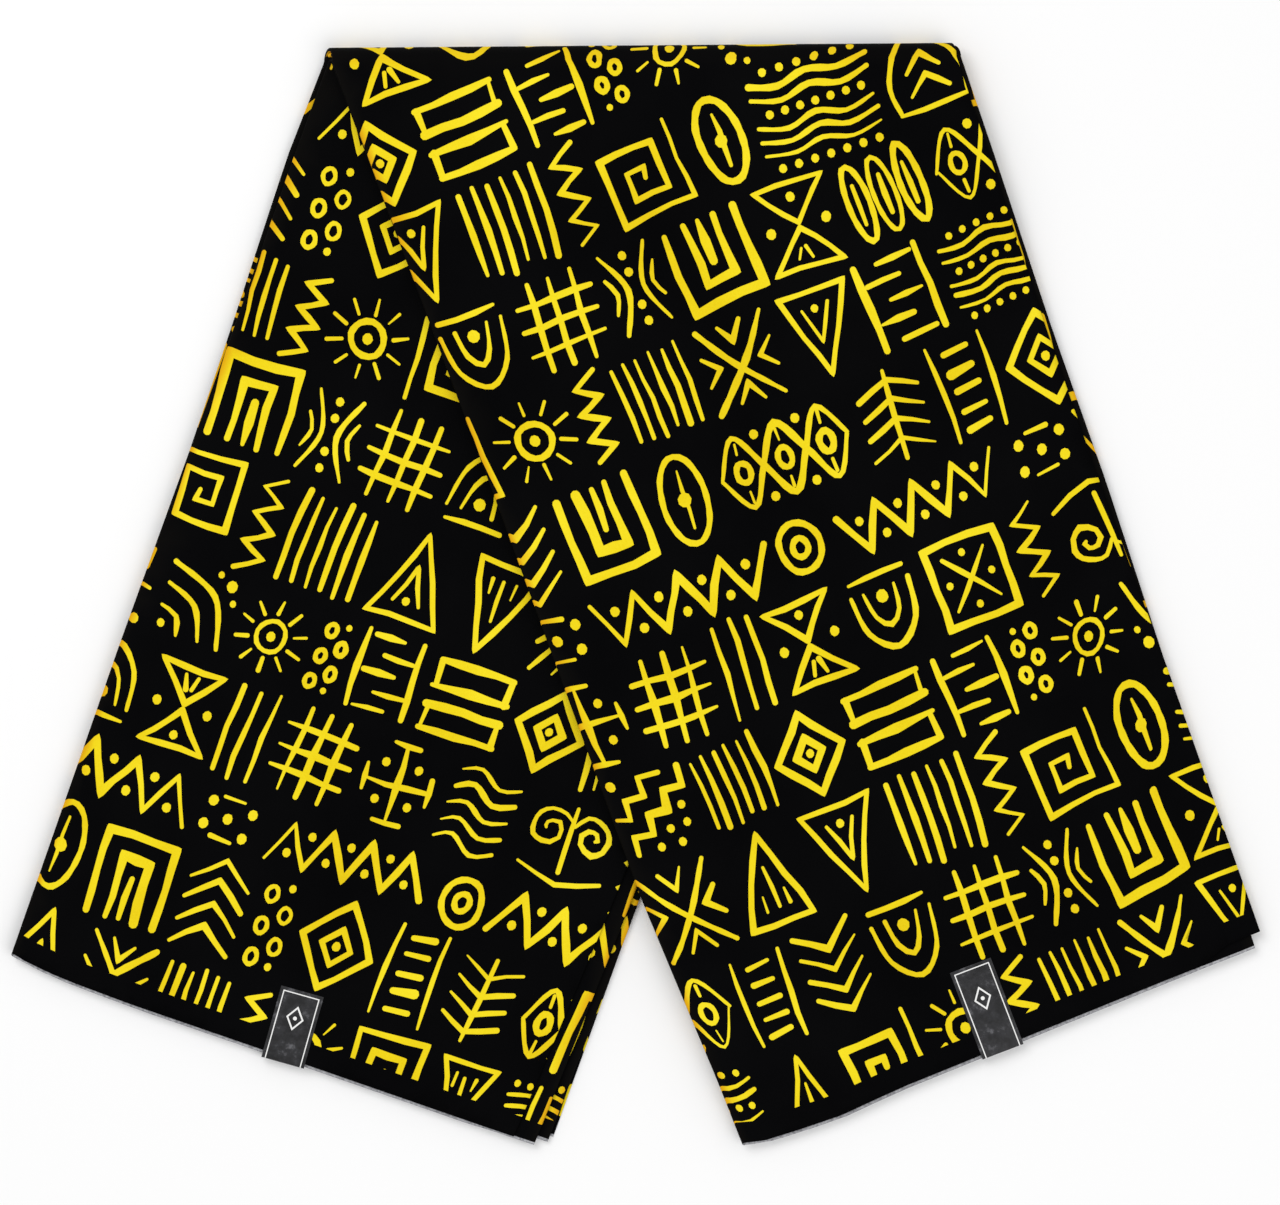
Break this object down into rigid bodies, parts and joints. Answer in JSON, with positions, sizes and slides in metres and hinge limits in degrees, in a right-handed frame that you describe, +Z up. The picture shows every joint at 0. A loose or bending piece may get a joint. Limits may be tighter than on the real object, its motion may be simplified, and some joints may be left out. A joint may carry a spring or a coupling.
{
  "type": "folded african wax print cloth",
  "caption": "Black cotton wax print with yellow hand-drawn motifs, folded back and forth into a strip and laid over once askew, so both ends point down; a small foil label over each end.",
  "frame": {"origin": "middle of the bounding box seen from above, on the surface the cloth lies on", "axes": "+X along the overall width, beside the fold line; +Y from the two ends up to the fold; +Z up out of the surface"},
  "size_m": [0.6822, 0.6014, 0.0165],
  "materials": {
    "wax_print_cotton": "crisp waxed cotton, black with yellow print",
    "label_foil": "satin foil"
  },
  "bodies": {
    "root": {"cloth": "wax_print_cotton", "label_left": "label_foil", "label_right": "label_foil"}
  },
  "joints": []
}
